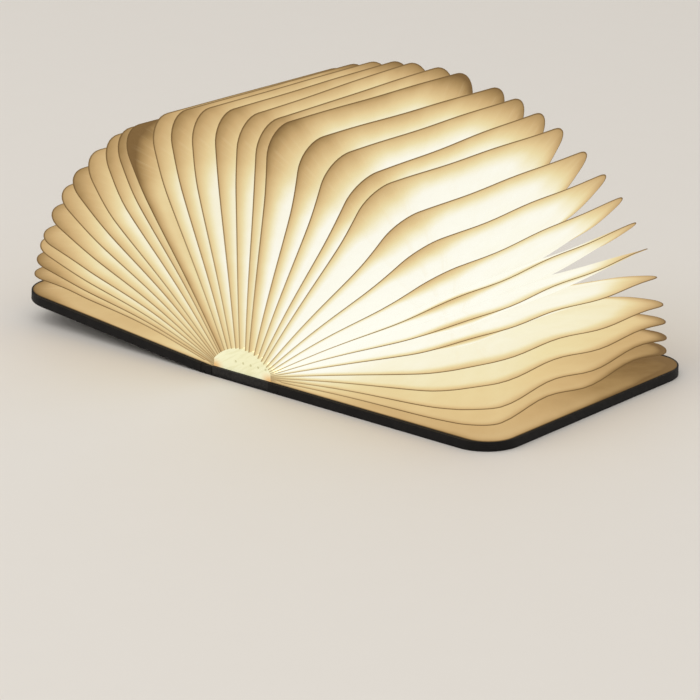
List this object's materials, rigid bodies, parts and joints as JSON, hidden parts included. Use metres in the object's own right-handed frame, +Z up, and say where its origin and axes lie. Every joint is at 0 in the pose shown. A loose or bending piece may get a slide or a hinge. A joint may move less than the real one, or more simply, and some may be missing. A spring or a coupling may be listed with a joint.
{
  "type": "folding book lamp",
  "caption": "Lamp shaped like a small book, with covers that open round a lit core and a fan of folded paper strips between them.",
  "frame": {"origin": "middle of the spine's underside, on the surface that the open book lies on", "axes": "+X across the open book to the flat cover, +Y along the spine to the end with the charging socket, +Z up"},
  "size_m": [0.2101, 0.107, 0.0884],
  "materials": {
    "cover_cloth": "fine matt near-black",
    "board": "plain grey board",
    "endpaper": "matt cream paper",
    "magnet": "nickel plated",
    "core_plastic": "matt cream",
    "diffuser": "milky, lit from inside",
    "led_strip": "bare",
    "led": "warm white, lit",
    "screw": "zinc",
    "cell": "foil pouch",
    "lead": "insulated wire",
    "circuit": "green board",
    "chip": "black",
    "usb": "drawn shell",
    "charge_light": "clear light pipe",
    "page_paper": "thin translucent paper, lit from inside",
    "seam_paper": "glued double paper"
  },
  "bodies": {
    "light_core": {"spine_cloth": "cover_cloth", "spine_board": "board", "core_carrier": "core_plastic", "diffuser": "diffuser", "front_cap": "diffuser", "rear_cap": "diffuser", "led_strip": "led_strip", "leds": "led", "strip_screws": "screw", "battery_cell": "cell", "battery_leads": "lead", "control_board": "circuit", "magnet_switch": "chip", "usb_socket": "usb", "charge_light": "charge_light", "page_webs_right": "page_paper", "page_webs_left": "page_paper", "page_web_middle": "page_paper"},
    "right_cover": {"right_cover_cloth": "cover_cloth", "right_cover_board": "board", "right_endpaper": "endpaper", "right_magnets": "magnet"},
    "left_cover": {"left_cover_cloth": "cover_cloth", "left_cover_board": "board", "left_endpaper": "endpaper", "left_magnets": "magnet", "sensing_magnet": "magnet"},
    "right_leaf_1": {"seam_right_1": "seam_paper"},
    "right_leaf_2": {"seam_right_2": "seam_paper"},
    "right_leaf_3": {"seam_right_3": "seam_paper"},
    "right_leaf_4": {"seam_right_4": "seam_paper"},
    "right_leaf_5": {"seam_right_5": "seam_paper"},
    "right_leaf_6": {"seam_right_6": "seam_paper"},
    "right_leaf_7": {"seam_right_7": "seam_paper"},
    "right_leaf_8": {"seam_right_8": "seam_paper"},
    "right_leaf_9": {"seam_right_9": "seam_paper"},
    "right_leaf_10": {"seam_right_10": "seam_paper"},
    "right_leaf_11": {"seam_right_11": "seam_paper"},
    "right_leaf_12": {"seam_right_12": "seam_paper"},
    "right_leaf_13": {"seam_right_13": "seam_paper"},
    "right_leaf_14": {"seam_right_14": "seam_paper"},
    "right_leaf_15": {"seam_right_15": "seam_paper"},
    "right_leaf_16": {"seam_right_16": "seam_paper"},
    "left_leaf_1": {"seam_left_1": "seam_paper"},
    "left_leaf_2": {"seam_left_2": "seam_paper"},
    "left_leaf_3": {"seam_left_3": "seam_paper"},
    "left_leaf_4": {"seam_left_4": "seam_paper"},
    "left_leaf_5": {"seam_left_5": "seam_paper"},
    "left_leaf_6": {"seam_left_6": "seam_paper"},
    "left_leaf_7": {"seam_left_7": "seam_paper"},
    "left_leaf_8": {"seam_left_8": "seam_paper"},
    "left_leaf_9": {"seam_left_9": "seam_paper"},
    "left_leaf_10": {"seam_left_10": "seam_paper"},
    "left_leaf_11": {"seam_left_11": "seam_paper"},
    "left_leaf_12": {"seam_left_12": "seam_paper"},
    "left_leaf_13": {"seam_left_13": "seam_paper"},
    "left_leaf_14": {"seam_left_14": "seam_paper"},
    "left_leaf_15": {"seam_left_15": "seam_paper"},
    "left_leaf_16": {"seam_left_16": "seam_paper"}
  },
  "joints": [
    {"name": "right_cover_hinge", "type": "hinge", "parent": "light_core", "child": "right_cover", "pos_m": [0.0162, 0, 0.00045], "axis": [0, -1, 0], "range_deg": [-99.5, 90], "deforming": ["page_webs_right", "page_web_middle"]},
    {"name": "left_cover_hinge", "type": "hinge", "parent": "light_core", "child": "left_cover", "pos_m": [-0.0162, 0, 0.00045], "axis": [0, 1, 0], "range_deg": [-104.5, 85], "deforming": ["page_webs_left"]},
    {"name": "right_leaf_1_turn", "type": "hinge", "parent": "light_core", "child": "right_leaf_1", "pos_m": [0.0015, 0, 0.00045], "axis": [0, -1, 0], "range_deg": [-3.87, 3.51]},
    {"name": "right_leaf_2_turn", "type": "hinge", "parent": "light_core", "child": "right_leaf_2", "pos_m": [0.00298, 0, 0.00045], "axis": [0, -1, 0], "range_deg": [-8.3, 7.5]},
    {"name": "right_leaf_3_turn", "type": "hinge", "parent": "light_core", "child": "right_leaf_3", "pos_m": [0.00443, 0, 0.00045], "axis": [0, -1, 0], "range_deg": [-18.25, 16.5]},
    {"name": "right_leaf_4_turn", "type": "hinge", "parent": "light_core", "child": "right_leaf_4", "pos_m": [0.00585, 0, 0.00045], "axis": [0, -1, 0], "range_deg": [-25.43, 23.01]},
    {"name": "right_leaf_5_turn", "type": "hinge", "parent": "light_core", "child": "right_leaf_5", "pos_m": [0.00722, 0, 0.00045], "axis": [0, -1, 0], "range_deg": [-32.62, 29.51]},
    {"name": "right_leaf_6_turn", "type": "hinge", "parent": "light_core", "child": "right_leaf_6", "pos_m": [0.00853, 0, 0.00045], "axis": [0, -1, 0], "range_deg": [-37.59, 34.01]},
    {"name": "right_leaf_7_turn", "type": "hinge", "parent": "light_core", "child": "right_leaf_7", "pos_m": [0.00976, 0, 0.00045], "axis": [0, -1, 0], "range_deg": [-46.44, 42.01]},
    {"name": "right_leaf_8_turn", "type": "hinge", "parent": "light_core", "child": "right_leaf_8", "pos_m": [0.01091, 0, 0.00045], "axis": [0, -1, 0], "range_deg": [-53.62, 48.51]},
    {"name": "right_leaf_9_turn", "type": "hinge", "parent": "light_core", "child": "right_leaf_9", "pos_m": [0.01197, 0, 0.00045], "axis": [0, -1, 0], "range_deg": [-60.26, 54.51]},
    {"name": "right_leaf_10_turn", "type": "hinge", "parent": "light_core", "child": "right_leaf_10", "pos_m": [0.01293, 0, 0.00045], "axis": [0, -1, 0], "range_deg": [-66.89, 60.5]},
    {"name": "right_leaf_11_turn", "type": "hinge", "parent": "light_core", "child": "right_leaf_11", "pos_m": [0.01377, 0, 0.00045], "axis": [0, -1, 0], "range_deg": [-72.42, 65.51]},
    {"name": "right_leaf_12_turn", "type": "hinge", "parent": "light_core", "child": "right_leaf_12", "pos_m": [0.0145, 0, 0.00045], "axis": [0, -1, 0], "range_deg": [-77.95, 70.5]},
    {"name": "right_leaf_13_turn", "type": "hinge", "parent": "light_core", "child": "right_leaf_13", "pos_m": [0.01511, 0, 0.00045], "axis": [0, -1, 0], "range_deg": [-84.03, 76]},
    {"name": "right_leaf_14_turn", "type": "hinge", "parent": "light_core", "child": "right_leaf_14", "pos_m": [0.01558, 0, 0.00045], "axis": [0, -1, 0], "range_deg": [-88.45, 80.01]},
    {"name": "right_leaf_15_turn", "type": "hinge", "parent": "light_core", "child": "right_leaf_15", "pos_m": [0.01592, 0, 0.00045], "axis": [0, -1, 0], "range_deg": [-92.32, 83.51]},
    {"name": "right_leaf_16_turn", "type": "hinge", "parent": "light_core", "child": "right_leaf_16", "pos_m": [0.01613, 0, 0.00045], "axis": [0, -1, 0], "range_deg": [-95.64, 86.5]},
    {"name": "left_leaf_1_turn", "type": "hinge", "parent": "light_core", "child": "left_leaf_1", "pos_m": [-0.0015, 0, 0.00045], "axis": [0, 1, 0], "range_deg": [-1.85, 1.51]},
    {"name": "left_leaf_2_turn", "type": "hinge", "parent": "light_core", "child": "left_leaf_2", "pos_m": [-0.00298, 0, 0.00045], "axis": [0, 1, 0], "range_deg": [-8, 6.5]},
    {"name": "left_leaf_3_turn", "type": "hinge", "parent": "light_core", "child": "left_leaf_3", "pos_m": [-0.00443, 0, 0.00045], "axis": [0, 1, 0], "range_deg": [-16.6, 13.5]},
    {"name": "left_leaf_4_turn", "type": "hinge", "parent": "light_core", "child": "left_leaf_4", "pos_m": [-0.00585, 0, 0.00045], "axis": [0, 1, 0], "range_deg": [-23.98, 19.5]},
    {"name": "left_leaf_5_turn", "type": "hinge", "parent": "light_core", "child": "left_leaf_5", "pos_m": [-0.00722, 0, 0.00045], "axis": [0, 1, 0], "range_deg": [-31.35, 25.5]},
    {"name": "left_leaf_6_turn", "type": "hinge", "parent": "light_core", "child": "left_leaf_6", "pos_m": [-0.00853, 0, 0.00045], "axis": [0, 1, 0], "range_deg": [-41.8, 34]},
    {"name": "left_leaf_7_turn", "type": "hinge", "parent": "light_core", "child": "left_leaf_7", "pos_m": [-0.00976, 0, 0.00045], "axis": [0, 1, 0], "range_deg": [-44.88, 36.5]},
    {"name": "left_leaf_8_turn", "type": "hinge", "parent": "light_core", "child": "left_leaf_8", "pos_m": [-0.01091, 0, 0.00045], "axis": [0, 1, 0], "range_deg": [-51.03, 41.51]},
    {"name": "left_leaf_9_turn", "type": "hinge", "parent": "light_core", "child": "left_leaf_9", "pos_m": [-0.01197, 0, 0.00045], "axis": [0, 1, 0], "range_deg": [-59.02, 48.01]},
    {"name": "left_leaf_10_turn", "type": "hinge", "parent": "light_core", "child": "left_leaf_10", "pos_m": [-0.01293, 0, 0.00045], "axis": [0, 1, 0], "range_deg": [-64.55, 52.51]},
    {"name": "left_leaf_11_turn", "type": "hinge", "parent": "light_core", "child": "left_leaf_11", "pos_m": [-0.01377, 0, 0.00045], "axis": [0, 1, 0], "range_deg": [-71.31, 58]},
    {"name": "left_leaf_12_turn", "type": "hinge", "parent": "light_core", "child": "left_leaf_12", "pos_m": [-0.0145, 0, 0.00045], "axis": [0, 1, 0], "range_deg": [-78.07, 63.51]},
    {"name": "left_leaf_13_turn", "type": "hinge", "parent": "light_core", "child": "left_leaf_13", "pos_m": [-0.01511, 0, 0.00045], "axis": [0, 1, 0], "range_deg": [-83.6, 68]},
    {"name": "left_leaf_14_turn", "type": "hinge", "parent": "light_core", "child": "left_leaf_14", "pos_m": [-0.01558, 0, 0.00045], "axis": [0, 1, 0], "range_deg": [-88.52, 72.01]},
    {"name": "left_leaf_15_turn", "type": "hinge", "parent": "light_core", "child": "left_leaf_15", "pos_m": [-0.01592, 0, 0.00045], "axis": [0, 1, 0], "range_deg": [-92.21, 75]},
    {"name": "left_leaf_16_turn", "type": "hinge", "parent": "light_core", "child": "left_leaf_16", "pos_m": [-0.01613, 0, 0.00045], "axis": [0, 1, 0], "range_deg": [-94.05, 76.5]}
  ],
  "couplings": [
    {"joint": "right_leaf_1_turn", "follows": "right_cover_hinge", "ratio": 0.03889},
    {"joint": "right_leaf_2_turn", "follows": "right_cover_hinge", "ratio": 0.08333},
    {"joint": "right_leaf_3_turn", "follows": "right_cover_hinge", "ratio": 0.18333},
    {"joint": "right_leaf_4_turn", "follows": "right_cover_hinge", "ratio": 0.25556},
    {"joint": "right_leaf_5_turn", "follows": "right_cover_hinge", "ratio": 0.32778},
    {"joint": "right_leaf_6_turn", "follows": "right_cover_hinge", "ratio": 0.37778},
    {"joint": "right_leaf_7_turn", "follows": "right_cover_hinge", "ratio": 0.46667},
    {"joint": "right_leaf_8_turn", "follows": "right_cover_hinge", "ratio": 0.53889},
    {"joint": "right_leaf_9_turn", "follows": "right_cover_hinge", "ratio": 0.60556},
    {"joint": "right_leaf_10_turn", "follows": "right_cover_hinge", "ratio": 0.67222},
    {"joint": "right_leaf_11_turn", "follows": "right_cover_hinge", "ratio": 0.72778},
    {"joint": "right_leaf_12_turn", "follows": "right_cover_hinge", "ratio": 0.78333},
    {"joint": "right_leaf_13_turn", "follows": "right_cover_hinge", "ratio": 0.84444},
    {"joint": "right_leaf_14_turn", "follows": "right_cover_hinge", "ratio": 0.88889},
    {"joint": "right_leaf_15_turn", "follows": "right_cover_hinge", "ratio": 0.92778},
    {"joint": "right_leaf_16_turn", "follows": "right_cover_hinge", "ratio": 0.96111},
    {"joint": "left_leaf_1_turn", "follows": "left_cover_hinge", "ratio": 0.01765},
    {"joint": "left_leaf_2_turn", "follows": "left_cover_hinge", "ratio": 0.07647},
    {"joint": "left_leaf_3_turn", "follows": "left_cover_hinge", "ratio": 0.15882},
    {"joint": "left_leaf_4_turn", "follows": "left_cover_hinge", "ratio": 0.22941},
    {"joint": "left_leaf_5_turn", "follows": "left_cover_hinge", "ratio": 0.3},
    {"joint": "left_leaf_6_turn", "follows": "left_cover_hinge", "ratio": 0.4},
    {"joint": "left_leaf_7_turn", "follows": "left_cover_hinge", "ratio": 0.42941},
    {"joint": "left_leaf_8_turn", "follows": "left_cover_hinge", "ratio": 0.48824},
    {"joint": "left_leaf_9_turn", "follows": "left_cover_hinge", "ratio": 0.56471},
    {"joint": "left_leaf_10_turn", "follows": "left_cover_hinge", "ratio": 0.61765},
    {"joint": "left_leaf_11_turn", "follows": "left_cover_hinge", "ratio": 0.68235},
    {"joint": "left_leaf_12_turn", "follows": "left_cover_hinge", "ratio": 0.74706},
    {"joint": "left_leaf_13_turn", "follows": "left_cover_hinge", "ratio": 0.8},
    {"joint": "left_leaf_14_turn", "follows": "left_cover_hinge", "ratio": 0.84706},
    {"joint": "left_leaf_15_turn", "follows": "left_cover_hinge", "ratio": 0.88235},
    {"joint": "left_leaf_16_turn", "follows": "left_cover_hinge", "ratio": 0.9}
  ]
}
